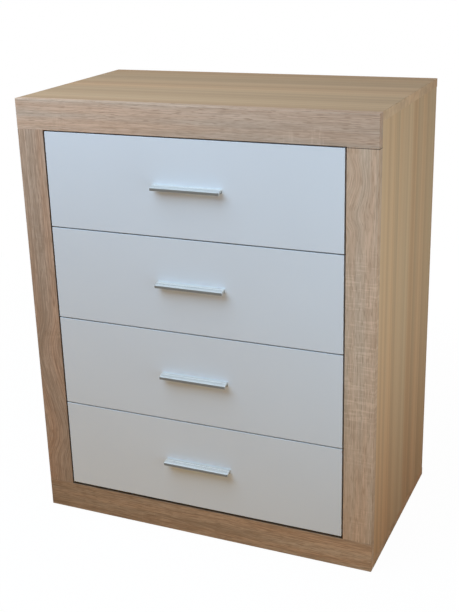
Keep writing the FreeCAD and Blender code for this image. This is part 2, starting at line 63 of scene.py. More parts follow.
Colour = tuple[float, float, float]
Triple = tuple[float, float, float]
Key = Union[str, int]
Plug = Union["Signal", float, Sequence[float], bpy.types.Material]
Settings = Optional[Mapping[str, Any]]
Sockets = Optional[Mapping[Key, Plug]]

MIX_FACTOR, MIX_A, MIX_B, MIX_RESULT = 0, 6, 7, 2
WHITE: Colour = (1.0, 1.0, 1.0)


def math_node(operation: str, swapped: bool = False) -> Callable[["Signal", Plug], "Signal"]:
    """Make an operator that adds one Math node.

    Args:
        operation: What the node does.
        swapped: Whether the other value comes first.

    Returns:
        A method for Signal.
    """

    def operator(self: "Signal", other: Plug) -> "Signal":
        """Return the node's result on the two values."""
        first, second = (other, self) if swapped else (self, other)
        return self.pen.node("ShaderNodeMath", {"operation": operation}, {0: first, 1: second})

    return operator


class Signal:
    """A node's output that takes part in sums as a number does."""

    __add__, __radd__ = math_node("ADD"), math_node("ADD", True)
    __sub__, __rsub__ = math_node("SUBTRACT"), math_node("SUBTRACT", True)
    __mul__, __rmul__ = math_node("MULTIPLY"), math_node("MULTIPLY", True)
    __truediv__, __rtruediv__ = math_node("DIVIDE"), math_node("DIVIDE", True)
    larger = math_node("MAXIMUM")

    def __init__(self, pen: "NodePen", node: bpy.types.Node, output: Key = 0) -> None:
        """Wrap one output of a node, if it has any.

        Args:
            pen: The pen that drew the node.
            node: The node.
            output: The output's name or number.
        """
        self.pen = pen
        self.node = node
        self.socket = node.outputs[output] if len(node.outputs) else None

    def out(self, output: Key) -> "Signal":
        """Return another output of the same node."""
        return Signal(self.pen, self.node, output)

    def wave(self) -> "Signal":
        """Return the sine, from -1 to 1."""
        return self.pen.node("ShaderNodeMath", {"operation": "SINE"}, {0: self})

    def between(self, low: float, high: float) -> "Signal":
        """Return 0 below low and 1 above high, with a smooth step between."""
        return self.pen.node(
            "ShaderNodeMapRange",
            {"interpolation_type": "SMOOTHSTEP", "clamp": True},
            {"Value": self, "From Min": low, "From Max": high},
        )


class NodePen:
    """Draws nodes in one tree, for a material or for geometry."""

    def __init__(self, tree: bpy.types.NodeTree) -> None:
        """Take the tree to draw in."""
        self.tree = tree

    def node(self, kind: str, settings: Settings = None, sockets: Sockets = None) -> Signal:
        """Add a node of any kind.

        Args:
            kind: The node's type.
            settings: Its own properties, or "stops" for a colour ramp; these are set first.
            sockets: Values or signals for its inputs, by name or number.

        Returns:
            The node's first output.
        """
        node = self.tree.nodes.new(kind)
        for name, setting in (settings or {}).items():
            if name == "stops":
                self._set_stops(node.color_ramp, setting)
            else:
                setattr(node, name, setting)
        for key, plug in (sockets or {}).items():
            socket = node.inputs[key]
            if isinstance(plug, Signal):
                self.tree.links.new(plug.socket, socket)
            elif socket.type == "RGBA":
                socket.default_value = (*plug[:3], 1.0)
            else:
                socket.default_value = plug
        return Signal(self, node)

    @staticmethod
    def _set_stops(ramp: bpy.types.ColorRamp, stops: Sequence[tuple[float, Colour]]) -> None:
        """Give a ramp its stops.

        Args:
            ramp: The colour ramp.
            stops: A place and a colour for each.
        """
        while len(ramp.elements) < len(stops):
            ramp.elements.new(1.0)
        for element, (place, colour) in zip(ramp.elements, stops):
            element.position = place
            element.color = (*colour, 1.0)


class Grain(Enum):
    """How a board lies: the axes along its grain, across its face and through its thickness."""

    RAIL = (0, 2, 1)
    STILE = (2, 0, 1)
    SLAB = (0, 1, 2)
    UPRIGHT = (2, 1, 0)
    BOX_SIDE = (1, 2, 0)


class Side(Enum):
    """A direction that a face can look in: axis and sign."""

    LEFT = (0, -1.0)
    RIGHT = (0, 1.0)
    BACK = (1, 1.0)
    FRONT = (1, -1.0)
    TOP = (2, 1.0)
    UNDER = (2, -1.0)

    def mask(self, pen: "MaterialPen", low: float = 0.75, high: float = 0.95) -> Signal:
        """Return 1 on faces that look this way and 0 on the others.

        Args:
            pen: The pen of the material.
            low, high: Cosines of the turn at which the mask is 0 and 1.

        Returns:
            The mask.
        """
        axis, sign = self.value
        return (pen.parts(pen.normal)[axis] * sign).between(low, high)


@dataclass(frozen=True)
class Swirl:
    """A place where the grain turns aside.

    Attributes:
        along, across: Its middle in the chest, along and across the grain.
        reach: How far it spreads, in metres.
        turn: How far the grain turns in the middle, in radians.
    """

    along: float
    across: float
    reach: float
    turn: float

    def bend(self, along: Signal, across: Signal) -> tuple[Signal, Signal]:
        """Turn a place about the swirl's middle.

        Args:
            along, across: The place, along and across the grain.

        Returns:
            The turned place.
        """
        ahead, aside = along - self.along, across - self.across
        away = ahead * ahead + aside * aside
        angle = away.between(self.reach ** 2, 0.0) * self.turn
        sine, cosine = angle.wave(), (angle + math.pi / 2.0).wave()
        turned_along = ahead * cosine - aside * sine + self.along
        turned_across = ahead * sine + aside * cosine + self.across
        return turned_along, turned_across


@dataclass(frozen=True)
class Lay:
    """Where a finish lies on one piece.

    Attributes:
        grain: How the piece lies.
        shift: Metres that its pattern is moved, so that no two pieces are alike.
        tone: How the piece's colour differs from its finish, a factor for each channel.
        sawn: The stretch along the grain where saw marks are thick.
        swirls: Where the grain turns aside, as round a knot.
        seam: Where a dark hairline at a joint lies, along the grain.
        inner: The side whose edge looks into the opening, darkened there as painted shade of the
            gap.
        edges: The sides whose edges get painted shade, with its colour factor.
        drift: How much lighter it gets in a metre along the grain, and where it is even.
    """

    grain: Grain = Grain.RAIL
    shift: Triple = (0.0, 0.0, 0.0)
    tone: Colour = WHITE
    sawn: Optional[tuple[float, float]] = None
    swirls: tuple[Swirl, ...] = ()
    seam: Optional[float] = None
    inner: Optional[Side] = None
    edges: tuple[tuple[Side, Colour], ...] = ()
    drift: Optional[tuple[float, float]] = None


class MaterialPen(NodePen):
    """Draws one material, with the patterns that the finishes share."""

    def __init__(self, name: str, lay: Lay = Lay()) -> None:
        """Start an empty material.

        Args:
            name: The material's name.
            lay: Where its finish lies.
        """
        self.lay = lay
        self.material = bpy.data.materials.new(name)
        self.material.use_nodes = True
        super().__init__(self.material.node_tree)
        self.tree.nodes.clear()
        self.place = self.node("ShaderNodeTexCoord").out("Object")
        self.normal = self.node("ShaderNodeNewGeometry").out("Normal")

    def axes(self) -> list[Signal]:
        """Return the place in the chest along, across and through the grain."""
        parts = self.parts(self.place)
        return [parts[axis] for axis in self.lay.grain.value]

    def read(self) -> Signal:
        """Find the place in the piece's own pattern.

        Returns:
            The place along, across and through the grain.
        """
        along, across, through = self.axes()
        for swirl in self.lay.swirls:
            along, across = swirl.bend(along, across)
        places = zip((along, across, through), self.lay.shift)
        return self.vector(*(place + shift for place, shift in places))

    def parts(self, vector: Signal) -> tuple[Signal, Signal, Signal]:
        """Return the X, Y and Z of a vector."""
        split = self.node("ShaderNodeSeparateXYZ", None, {0: vector})
        return split.out("X"), split.out("Y"), split.out("Z")

    def vector(self, x: Plug, y: Plug, z: Plug) -> Signal:
        """Return a vector of three values."""
        return self.node("ShaderNodeCombineXYZ", None, {0: x, 1: y, 2: z})

    def noise(
        self, vector: Signal, scale: Union[float, Triple], detail: float = 2.0, warp: float = 0.0
    ) -> Signal:
        """Return soft noise around zero.

        Args:
            vector: Where it is read.
            scale: Cells to the metre, one number or one for each axis of the vector.
            detail: Octaves of finer noise.
            warp: How far the noise bends itself.

        Returns:
            A value that mostly stays between -0.5 and 0.5.
        """
        cells = scale if isinstance(scale, tuple) else (scale, scale, scale)
        place = self.times(vector, cells)
        sockets = {"Vector": place, "Scale": 1.0, "Detail": detail, "Distortion": warp}
        return self.node("ShaderNodeTexNoise", None, sockets) - 0.5

    def mix(self, factor: Plug, first: Plug, second: Plug) -> Signal:
        """Return a colour between two, by a factor from 0 to 1."""
        sockets = {MIX_FACTOR: factor, MIX_A: first, MIX_B: second}
        return self.node("ShaderNodeMix", {"data_type": "RGBA"}, sockets).out(MIX_RESULT)

    def tint(self, colour: Plug, level: Signal) -> Signal:
        """Return a colour made lighter or darker by a factor around 1."""
        sockets = {0: colour, "Scale": level}
        return self.node("ShaderNodeVectorMath", {"operation": "SCALE"}, sockets)

    def times(self, first: Plug, second: Plug) -> Signal:
        """Return two colours or vectors multiplied."""
        sockets = {0: first, 1: second}
        return self.node("ShaderNodeVectorMath", {"operation": "MULTIPLY"}, sockets)

    def bump(self, height: Signal, depth: float) -> Signal:
        """Return the normal of a relief whose height signal is scaled to a depth in metres."""
        sockets = {"Height": height, "Strength": 1.0, "Distance": depth}
        return self.node("ShaderNodeBump", None, sockets)

    def surface(self, colour: Plug, roughness: Plug, relief: Signal, **constants: float) -> None:
        """Finish the material with one surface shader.

        Args:
            colour: Base colour.
            roughness: Roughness, a number or a signal.
            relief: A normal from bump.
            constants: Other sockets, with _ for a space, set as plain numbers.
        """
        sockets: dict[Key, Plug] = {"Base Color": colour, "Roughness": roughness, "Normal": relief}
        for name, number in constants.items():
            sockets[name.replace("_", " ")] = number
        shader = self.node("ShaderNodeBsdfPrincipled", None, sockets)
        self.node("ShaderNodeOutputMaterial", None, {"Surface": shader})


class Finish(ABC):
    """A surface that can be laid on a piece."""

    @abstractmethod
    def draw(self, pen: MaterialPen) -> None:
        """Draw the surface.

        Args:
            pen: The pen of its material.
        """

    def lay_on(self, piece: bpy.types.Object, lay: Lay = Lay()) -> None:
        """Give a piece a material of this finish in its first slot, and drop any others.

        Args:
            piece: The piece.
            lay: Where the finish lies on it.
        """
        pen = MaterialPen(piece.name + "_finish", lay)
        self.draw(pen)
        piece.data.materials.clear()
        piece.data.materials.append(pen.material)
        LOG.info("%s: %s, %s", piece.name, type(self).__name__, lay.grain.name.lower())


@dataclass(frozen=True)
class OakDecor(Finish):
    """Printed oak on chipboard: bands, streaks and pores along a swaying grain, saw marks across.

    Attributes:
        pale, deep: The two ends of the light and dark pattern.
        rosy, ashen: How the hue drifts to either side, as factors.
        band, streak, pore, saw: How strongly each pattern shows.
        band_scale, streak_scale, pore_scale, hue_scale: Cells to the metre along and across.
        sway: How far the grain bends, in metres.
        roughness: Of the printed face.
        relief: Depth of the embossed grain, in metres.
        gloss: How much the face mirrors.
        raw_back: Whether the back edge is bare chipboard.
    """

    pale: Colour
    deep: Colour
    rosy: Colour
    ashen: Colour
    band: float
    streak: float
    pore: float
    saw: float
    band_scale: Triple
    streak_scale: Triple
    pore_scale: Triple
    hue_scale: Triple
    sway: float
    roughness: float
    relief: float
    gloss: float
    raw_back: bool = False

    SWAY_SCALE = (4.0, 10.0, 10.0)
    PORE_STEP, LEVEL_STEP = (0.05, 0.22), (-0.25, 1.25)
    HUE_STEP, EDGE_STEP = (-0.2, 0.2), (0.15, 0.6)
    PALE_SMOOTHER, PORES_ROUGHER, MARK_RISE = 0.08, 0.1, 0.5
    PATCH_SCALE, PATCH_STEP, PATCH_SHARE = (7.0, 11.0, 11.0), (0.02, 0.2), 0.6
    CUT_SCALE, CUT_STEP = (240.0, 28.0, 28.0), (0.0, 0.16)
    SAWN_RAGGED, SAWN_FADE = 0.1, 0.03
    # The last is painted shade on the edges that look into the gaps round the drawers.
    SEAM_COLOUR, SEAM_WIDTH, INNER_SHADE = (0.06, 0.045, 0.03), 0.0008, 0.6
    CHIP_SCALE = 420.0
    CHIP_STOPS = ((0.0, (0.20, 0.12, 0.06)), (0.6, (0.42, 0.29, 0.16)), (1.0, (0.60, 0.46, 0.29)))

    def draw(self, pen: MaterialPen) -> None:
        """Draw the grain and its saw marks over a drifting hue.

        Args:
            pen: The pen of the material.
        """
        grain = pen.read()
        along, across, through = pen.parts(grain)
        bend = pen.noise(grain, self.SWAY_SCALE, detail=1.0) * self.sway
        swayed = pen.vector(along, across + bend, through)
        bands = pen.noise(swayed, self.band_scale, detail=3.0)
        streaks = pen.noise(swayed, self.streak_scale)
        pores = pen.noise(swayed, self.pore_scale, detail=1.0).between(*self.PORE_STEP)
        marks = self._saw_marks(pen, grain)
        level = 0.5 + bands * self.band + streaks * self.streak
        level = level + marks * self.saw - pores * self.pore
        shade = level.between(*self.LEVEL_STEP)
        hue = pen.noise(swayed, self.hue_scale).between(*self.HUE_STEP)
        print_colour = pen.mix(shade, self.deep, self.pale)
        print_colour = pen.times(print_colour, pen.mix(hue, self.rosy, self.ashen))
        roughness = self.roughness - shade * self.PALE_SMOOTHER + pores * self.PORES_ROUGHER
        relief = pen.bump(streaks + marks * self.MARK_RISE - pores, self.relief)
        colour = self._toned(pen, print_colour)
        pen.surface(colour, roughness, relief, Specular_IOR_Level=self.gloss)

    def _toned(self, pen: MaterialPen, colour: Signal) -> Signal:
        """Give the print the piece's own tone, drift and joint, and painted shade on its edges.

        Args:
            pen: The pen of the material.
            colour: The print.

        Returns:
            The piece's colour.
        """
        lay = pen.lay
        colour = pen.times(colour, lay.tone)
        if lay.drift is not None:
            rate, even = lay.drift
            colour = pen.tint(colour, 1.0 + (pen.axes()[0] - even) * rate)
        # Painted shade on the edges that face up or sideways: warmer against the cool light from
        # above, darker against the highlight that their rounding catches.
        for side, tone in lay.edges:
            colour = pen.times(colour, pen.mix(side.mask(pen, *self.EDGE_STEP), WHITE, tone))
        if lay.seam is not None:
            gap = pen.axes()[0] - lay.seam
            line = (gap * gap).between(self.SEAM_WIDTH ** 2, 0.0)
            colour = pen.mix(line, colour, self.SEAM_COLOUR)
        # Painted shade on the edge that looks into the opening, where the gap lies in deep shade.
        if lay.inner is not None:
            colour = pen.tint(colour, 1.0 - lay.inner.mask(pen) * self.INNER_SHADE)
        if self.raw_back:
            sockets = {"Vector": pen.place, "Scale": self.CHIP_SCALE}
            flakes = pen.node("ShaderNodeTexVoronoi", None, sockets).out("Color")
            pick = {0: pen.parts(flakes)[0]}
            chips = pen.node("ShaderNodeValToRGB", {"stops": self.CHIP_STOPS}, pick)
            colour = pen.mix(Side.BACK.mask(pen), colour, chips)
        return colour

    def _saw_marks(self, pen: MaterialPen, grain: Signal) -> Signal:
        """Draw short pale dashes across the grain, in patches and where the board is well sawn.

        Args:
            pen: The pen of the material.
            grain: The place in the piece's pattern.

        Returns:
            The marks, from 0 to 1.
        """
        patch = pen.noise(grain, self.PATCH_SCALE, detail=1.0)
        thick = patch.between(*self.PATCH_STEP) * self.PATCH_SHARE
        if pen.lay.sawn is not None:
            place = pen.axes()[0] + patch * self.SAWN_RAGGED
            start, end = (
                place.between(mark - self.SAWN_FADE, mark + self.SAWN_FADE)
                for mark in pen.lay.sawn
            )
            thick = thick.larger(start - end)
        return pen.noise(grain, self.CUT_SCALE).between(*self.CUT_STEP) * thick


@dataclass(frozen=True)
class Mottle:
    """A faint unevenness of a plain surface.

    Attributes:
        scale: Cells to the metre, one number or one for each axis of the grain.
        shade, roughness: How much it changes the colour and the sheen.
        detail, warp: Octaves of finer noise, and how far the noise bends itself.
    """

    scale: Union[float, Triple]
    shade: float
    roughness: float
    detail: float = 2.0
    warp: float = 0.0


@dataclass(frozen=True)
class Marks:
    """Marks of another colour along the grain of a plain surface.

    Attributes:
        colour: Of the marks.
        scale, step: Cells to the metre, and the noise at which they start and are full.
        share, rougher: How strongly they show, and how much rougher they are.
        sides: Where the faces that have them look, or none for all faces.
    """

    colour: Colour
    scale: Triple
    step: tuple[float, float]
    share: float
    rougher: float
    sides: tuple[Side, ...] = ()

    def read(self, pen: MaterialPen, grain: Signal) -> Signal:
        """Draw the marks.

        Args:
            pen: The pen of the material.
            grain: The place in the piece's pattern.

        Returns:
            1 on a mark and 0 off it.
        """
        marks = pen.noise(grain, self.scale).between(*self.step)
        faces = [side.mask(pen) for side in self.sides]
        return reduce(Signal.larger, faces) * marks if faces else marks


@dataclass(frozen=True)
class PlainFinish(Finish):
    """One colour with faint mottles and a fine relief: foil, steel, plastic or bare wood.

    Attributes:
        colour, roughness: Of the surface.
        mottles: What makes it uneven; the first is its relief as well.
        relief: Depth of the relief, in metres.
        metallic, gloss: How far it is metal, and how much it mirrors.
        marks: Marks on it, if it has any.
    """

    colour: Colour
    roughness: float
    mottles: tuple[Mottle, ...]
    relief: float
    metallic: float = 0.0
    gloss: float = 0.5
    marks: Optional[Marks] = None

    def draw(self, pen: MaterialPen) -> None:
        """Draw the mottled surface and the marks on it.

        Args:
            pen: The pen of the material.
        """
        grain = pen.read()
        noises = [pen.noise(grain, each.scale, each.detail, each.warp) for each in self.mottles]
        level, roughness = 1.0, self.roughness
        for mottle, noise in zip(self.mottles, noises):
            level = level + noise * mottle.shade
            roughness = roughness + noise * mottle.roughness
        colour = pen.tint(self.colour, level)
        if self.marks is not None:
            marks = self.marks.read(pen, grain)
            colour = pen.mix(marks * self.marks.share, colour, self.marks.colour)
            roughness = roughness + marks * self.marks.rougher
        relief = pen.bump(noises[0], self.relief)
        constants = {"Metallic": self.metallic, "Specular_IOR_Level": self.gloss}
        pen.surface(colour, roughness, relief, **constants)


@dataclass(frozen=True)
class Hardboard(Finish):
    """Thin fibre board, coated on its good face and bare on the other.

    Attributes:
        coat: Colour of the coated face.
        bare: Colour of the bare face.
        bare_side: Where the bare face looks.
    """

    coat: Colour
    bare: Colour
    bare_side: Side

    SCREEN_LINES, FIBRE_SCALE, CLOUD_SCALE = 450.0, (160.0, 500.0, 500.0), 5.0
    BARE_FIBRES, BARE_CLOUDS, BARE_SCREEN = 0.9, 0.3, 0.05
    COAT_FIBRES, COAT_CLOUDS = 0.05, 0.06
    SCREEN_RISE, RELIEF = 0.3, 0.00006
    COAT_ROUGHNESS, BARE_ROUGHER, GLOSS = 0.55, 0.3, 0.3

    def draw(self, pen: MaterialPen) -> None:
        """Draw the coat, and the fibres and press screen of the bare face.

        Args:
            pen: The pen of the material.
        """
        grain = pen.read()
        along, across, _ = pen.parts(grain)
        pitch = math.tau * self.SCREEN_LINES
        screen = (along * pitch).wave() * (across * pitch).wave()
        fibres = pen.noise(grain, self.FIBRE_SCALE, detail=4.0, warp=0.6)
        clouds = pen.noise(grain, self.CLOUD_SCALE)
        rough = 1.0 + fibres * self.BARE_FIBRES + clouds * self.BARE_CLOUDS
        bare = pen.tint(self.bare, rough + screen * self.BARE_SCREEN)
        smooth = 1.0 + clouds * self.COAT_CLOUDS + fibres * self.COAT_FIBRES
        side = self.bare_side.mask(pen)
        colour = pen.mix(side, pen.tint(self.coat, smooth), bare)
        roughness = self.COAT_ROUGHNESS + side * self.BARE_ROUGHER
        relief = pen.bump(fibres + screen * self.SCREEN_RISE * side, self.RELIEF)
        pen.surface(colour, roughness, relief, Specular_IOR_Level=self.GLOSS)


@dataclass(frozen=True)
class HandleMetal(Finish):
    """Satin silver metal, brushed along the handle, with painted light and shade on its ridge,
    slope, nose and lip.

    Attributes:
        silver: The plate.
        lip: A painted dark reflection on the front face of the lip.
        roughness: Of the brushed plate.
    """

    silver: Colour
    lip: Colour
    roughness: float

    BRUSH_SCALE, BRUSH_SHADE, BRUSH_ROUGHNESS, RELIEF = (12.0, 2600.0, 2600.0), 0.25, 0.2, 0.000012
    CLOUD_SCALE, CLOUD_SHADE = 40.0, 0.08
    RIDGE_STEP, RIDGE_LIGHTER = (0.02, 0.12), 0.4
    SLOPE_STEP, SLOPE_DARKER = (0.16, 0.32), 0.18
    NOSE_STEP, NOSE_DARKER = (0.34, 0.5), 0.15
    LIP_STEP, LIP_ROUGHER = (0.55, 0.85), 0.1
    METALLIC = 0.6

    def draw(self, pen: MaterialPen) -> None:
        """Draw brush lines along the handle, with a painted highlight on its ridge, painted shade
        on its slope and nose, and a painted dark reflection on its lip.

        Args:
            pen: The pen of the material.
        """
        grain = pen.read()
        lines = pen.noise(grain, self.BRUSH_SCALE)
        clouds = pen.noise(grain, self.CLOUD_SCALE, detail=1.0)
        # Masks by the face's direction for painted light: the lip's front face, the slope, the
        # ridge and the nose.
        lip = Side.FRONT.mask(pen, *self.LIP_STEP)
        slope = Side.FRONT.mask(pen, *self.SLOPE_STEP)
        ridge = Side.FRONT.mask(pen, *self.RIDGE_STEP) - slope
        nose = Side.FRONT.mask(pen, *self.NOSE_STEP)
        brushed = 1.0 + lines * self.BRUSH_SHADE + clouds * self.CLOUD_SHADE
        # Painted highlight on the ridge, painted shade on the slope and nose.
        turned = 1.0 + ridge * self.RIDGE_LIGHTER - slope * self.SLOPE_DARKER
        turned = turned - nose * self.NOSE_DARKER
        colour = pen.tint(pen.mix(lip, self.silver, self.lip), brushed * turned)
        roughness = self.roughness + lines * self.BRUSH_ROUGHNESS + lip * self.LIP_ROUGHER
        relief = pen.bump(lines, self.RELIEF)
        pen.surface(colour, roughness, relief, Metallic=self.METALLIC)


FRAME_OAK = OakDecor(
    pale=(0.58, 0.41, 0.295), deep=(0.36, 0.24, 0.16),
    rosy=(1.055, 0.98, 0.935), ashen=(0.955, 1.005, 1.045),
    band=0.9, streak=1.6, pore=1.1, saw=0.4,
    band_scale=(1.6, 30.0, 30.0), streak_scale=(18.0, 560.0, 560.0),
    pore_scale=(46.0, 900.0, 900.0), hue_scale=(1.5, 32.0, 32.0),
    sway=0.007, roughness=0.66, relief=0.00012, gloss=0.04,
)
FLECKED_OAK = replace(FRAME_OAK, streak=3.0, pore=1.8)
BANDED_OAK = replace(
    FRAME_OAK, band=1.9, streak=3.2, pore=2.0,
    band_scale=(3.5, 60.0, 60.0), streak_scale=(26.0, 560.0, 560.0), sway=0.014,
)
BOARD_OAK = OakDecor(
    pale=(0.55, 0.345, 0.195), deep=(0.43, 0.27, 0.153),
    rosy=(1.03, 0.98, 0.95), ashen=(0.97, 1.01, 1.03),
    band=1.9, streak=1.5, pore=0.12, saw=0.0,
    band_scale=(0.25, 28.0, 28.0), streak_scale=(0.6, 80.0, 80.0),
    pore_scale=(30.0, 1100.0, 1100.0), hue_scale=(0.4, 8.0, 8.0),
    sway=0.004, roughness=0.7, relief=0.00004, gloss=0.03, raw_back=True,
)
STRIPED_OAK = replace(
    BOARD_OAK, pale=(0.527, 0.338, 0.189), deep=(0.412, 0.265, 0.148),
    rosy=(1.05, 0.975, 0.915), ashen=(0.955, 1.015, 1.045),
    band=3.4, streak=1.8, hue_scale=(0.4, 14.0, 14.0),
)
# Painted shade on the frame's edges: warmer on the up-facing edge against the cool light from
# above, darker on the sideways edges against their highlight.
UPPER_BAND: Colour = (0.98, 0.90, 0.84)
OUTER_BAND: Colour = (0.80, 0.735, 0.675)
RIPPLE, GRIT = Mottle(160.0, 0.0, 0.0), Mottle(420.0, 0.015, 0.06)
SPANGLE = Mottle(700.0, 0.35, 0.25, warp=0.5)
SPARK, DIRT = Mottle(1500.0, 0.1, 0.0), Mottle(120.0, 0.2, 0.15, detail=3.0)
WHITE_FRONT = PlainFinish(
    (0.682, 0.7, 0.716), 0.36, (RIPPLE, Mottle(6.0, 0.05, 0.10), GRIT), 0.00001, gloss=0.4
)
DRAWER_FOIL = PlainFinish(
    (0.74, 0.74, 0.73), 0.48, (RIPPLE, Mottle(6.0, 0.08, 0.10), GRIT), 0.00002, gloss=0.4
)
BACK_BOARD = Hardboard((0.66, 0.65, 0.62), (0.30, 0.19, 0.10), Side.BACK)
BOTTOM_BOARD = Hardboard((0.70, 0.69, 0.66), (0.30, 0.19, 0.10), Side.UNDER)
FLECKS = Marks((0.38, 0.23, 0.12), (500.0, 1400.0, 1400.0), (0.05, 0.2), 0.7, 0.1)
DOWEL_BEECH = PlainFinish(
    (0.56, 0.40, 0.25), 0.62, (Mottle((60.0, 700.0, 700.0), 0.4, 0.0),), 0.00005, marks=FLECKS
)
# Its second colour is a painted dark reflection on the lip's front face.
HANDLE_SILVER = HandleMetal((0.71, 0.69, 0.645), (0.25, 0.24, 0.215), 0.30)
SCREW_STEEL = PlainFinish((0.62, 0.63, 0.66), 0.32, (SPANGLE,), 0.00001, metallic=1.0)
NAIL_STEEL = replace(SCREW_STEEL, colour=(0.45, 0.46, 0.49), roughness=0.38)
RUBBED = Marks(
    (0.42, 0.42, 0.42), (14.0, 900.0, 900.0), (-0.15, 0.15), 0.55, 0.2, (Side.TOP, Side.UNDER)
)
RUNNER_ENAMEL = PlainFinish(
    (0.80, 0.80, 0.78), 0.34, (Mottle(600.0, 0.06, 0.08),), 0.00003, marks=RUBBED
)
ROLLER_NYLON = PlainFinish((0.78, 0.77, 0.73), 0.45, (SPARK, DIRT), 0.00003)
CAP_PLASTIC = replace(ROLLER_NYLON, colour=(0.74, 0.74, 0.72), roughness=0.5)
GLIDE_PLASTIC = replace(
    ROLLER_NYLON, colour=(0.045, 0.04, 0.038), roughness=0.55, relief=0.00006
)


@dataclass(frozen=True)
class Spot:
    """A place for a fastening, and the way that it faces."""

    at: Triple
    facing: Triple


@dataclass(frozen=True)
class Heads:
    """Alike heads of fastenings that make one piece on one body.

    Attributes:
        name: The piece's name.
        body: What it rides on.
        finish, slot: What the heads are made of, and its slot in the record, which nothing reads.
        sizes: A number for each of the lengths of their tree, in the same order.
        spots: Where they are, or pairs of ends of the rows that they stand in.
    """

    name: str
    body: str
    finish: Finish
    slot: str
    sizes: Sequence[float]
    spots: Sequence[Spot]

    FACING = "facing"

    def mesh(self, in_rows: bool) -> bpy.types.Mesh:
        """Make a mesh that carries the way each point faces.

        Args:
            in_rows: Whether an edge joins each pair of spots.

        Returns:
            The mesh of the points and edges.
        """
        mesh = bpy.data.meshes.new(self.name)
        firsts = range(0, len(self.spots), 2) if in_rows else ()
        edges = [(first, first + 1) for first in firsts]
        mesh.from_pydata([spot.at for spot in self.spots], edges, [])
        marks = mesh.attributes.new(self.FACING, "FLOAT_VECTOR", "POINT")
        marks.data.foreach_set("vector", [part for spot in self.spots for part in spot.facing])
        return mesh


class HeadTree:
    """A Geometry Nodes tree that sets the round head of a fastening on each point of a mesh."""

    title: str
    lengths: tuple[str, ...]
    in_rows = False
    ROUND_SIDES = 20
    CROWN = 0.82
    SPIN_SEED = 7

    def __init__(self) -> None:
        """Draw the tree."""
        self.tree = bpy.data.node_groups.new(self.title, "GeometryNodeTree")
        self.pen = NodePen(self.tree)
        self.sockets: dict[str, str] = {}
        geometry = "NodeSocketGeometry"
        self._add_input("Geometry", geometry)
        self.tree.interface.new_socket("Geometry", in_out="OUTPUT", socket_type=geometry)
        for name in self.lengths:
            self._add_input(name, "NodeSocketFloat")
        self._add_input("Finish", "NodeSocketMaterial")
        self.inputs = self.pen.node("NodeGroupInput")
        self._finish(self.points(), self.head())

    def _add_input(self, name: str, kind: str) -> None:
        """Add a named input to the tree and keep its identifier."""
        socket = self.tree.interface.new_socket(name, in_out="INPUT", socket_type=kind)
        self.sockets[name] = socket.identifier

    def _finish(self, points: Signal, head: Signal) -> None:
        """Set the heads on the points, turned the way they face, and end the tree.

        Args:
            points: Where heads stand.
            head: One head, standing on the origin along Z.
        """
        add = self.pen.node
        vectors = {"data_type": "FLOAT_VECTOR"}
        facing = add("GeometryNodeInputNamedAttribute", vectors, {"Name": Heads.FACING})
        limits = {"Min": 0.0, "Max": math.tau, "Seed": self.SPIN_SEED}
        spin = add("FunctionNodeRandomValue", {"data_type": "FLOAT"}, limits).out(1)
        about = {"Axis": (0.0, 0.0, 1.0), "Angle": spin}
        turn = add("FunctionNodeAxisAngleToRotation", None, about)
        stand = add("FunctionNodeAlignRotationToVector", {"axis": "Z"}, {"Vector": facing})
        both = add(
            "FunctionNodeRotateRotation",
            {"rotation_space": "LOCAL"},
            {"Rotation": stand, "Rotate By": turn},
        )
        standing = {"Points": points, "Instance": head, "Rotation": both}
        placed = add("GeometryNodeInstanceOnPoints", None, standing)
        real = add("GeometryNodeRealizeInstances", None, {"Geometry": placed})
        dress = {"Geometry": real, "Material": self.inputs.out("Finish")}
        dressed = add("GeometryNodeSetMaterial", None, dress)
        add("NodeGroupOutput", None, {"Geometry": dressed})

    def points(self) -> Signal:
        """Return the points that heads stand on."""
        return self.inputs.out("Geometry")

    def head(self) -> Signal:
        """Make a round head whose top is drawn in a little.

        Returns:
            The head, standing on the origin along Z.
        """
        radius = self.inputs.out("Head Diameter") / 2.0
        sizes = {
            "Vertices": self.ROUND_SIDES,
            "Radius Top": radius * self.CROWN,
            "Radius Bottom": radius,
            "Depth": self.inputs.out("Head Height"),
        }
        return self.pen.node("GeometryNodeMeshCone", {"fill_type": "NGON"}, sizes)

    def build(self, heads: Heads) -> None:
        """Run the tree, keep its result as a plain mesh with no modifier, and set it on its body.

        Args:
            heads: What to build.
        """
        mesh = heads.mesh(self.in_rows)
        piece = bpy.data.objects.new(heads.name, mesh)
        bpy.context.scene.collection.objects.link(piece)
        modifier = piece.modifiers.new(self.title, "NODES")
        modifier.node_group = self.tree
        for length, number in zip(self.lengths, heads.sizes):
            modifier[self.sockets[length]] = number
        pen = MaterialPen(heads.name + "_finish")
        heads.finish.draw(pen)
        modifier[self.sockets["Finish"]] = pen.material
        graph = bpy.context.evaluated_depsgraph_get()
        plain = bpy.data.meshes.new_from_object(piece.evaluated_get(graph))
        piece.modifiers.clear()
        piece.data = plain
        bpy.data.meshes.remove(mesh)
        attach(piece, heads.body)
        LOG.info("%s: %d faces on %s", piece.name, len(plain.polygons), heads.body)


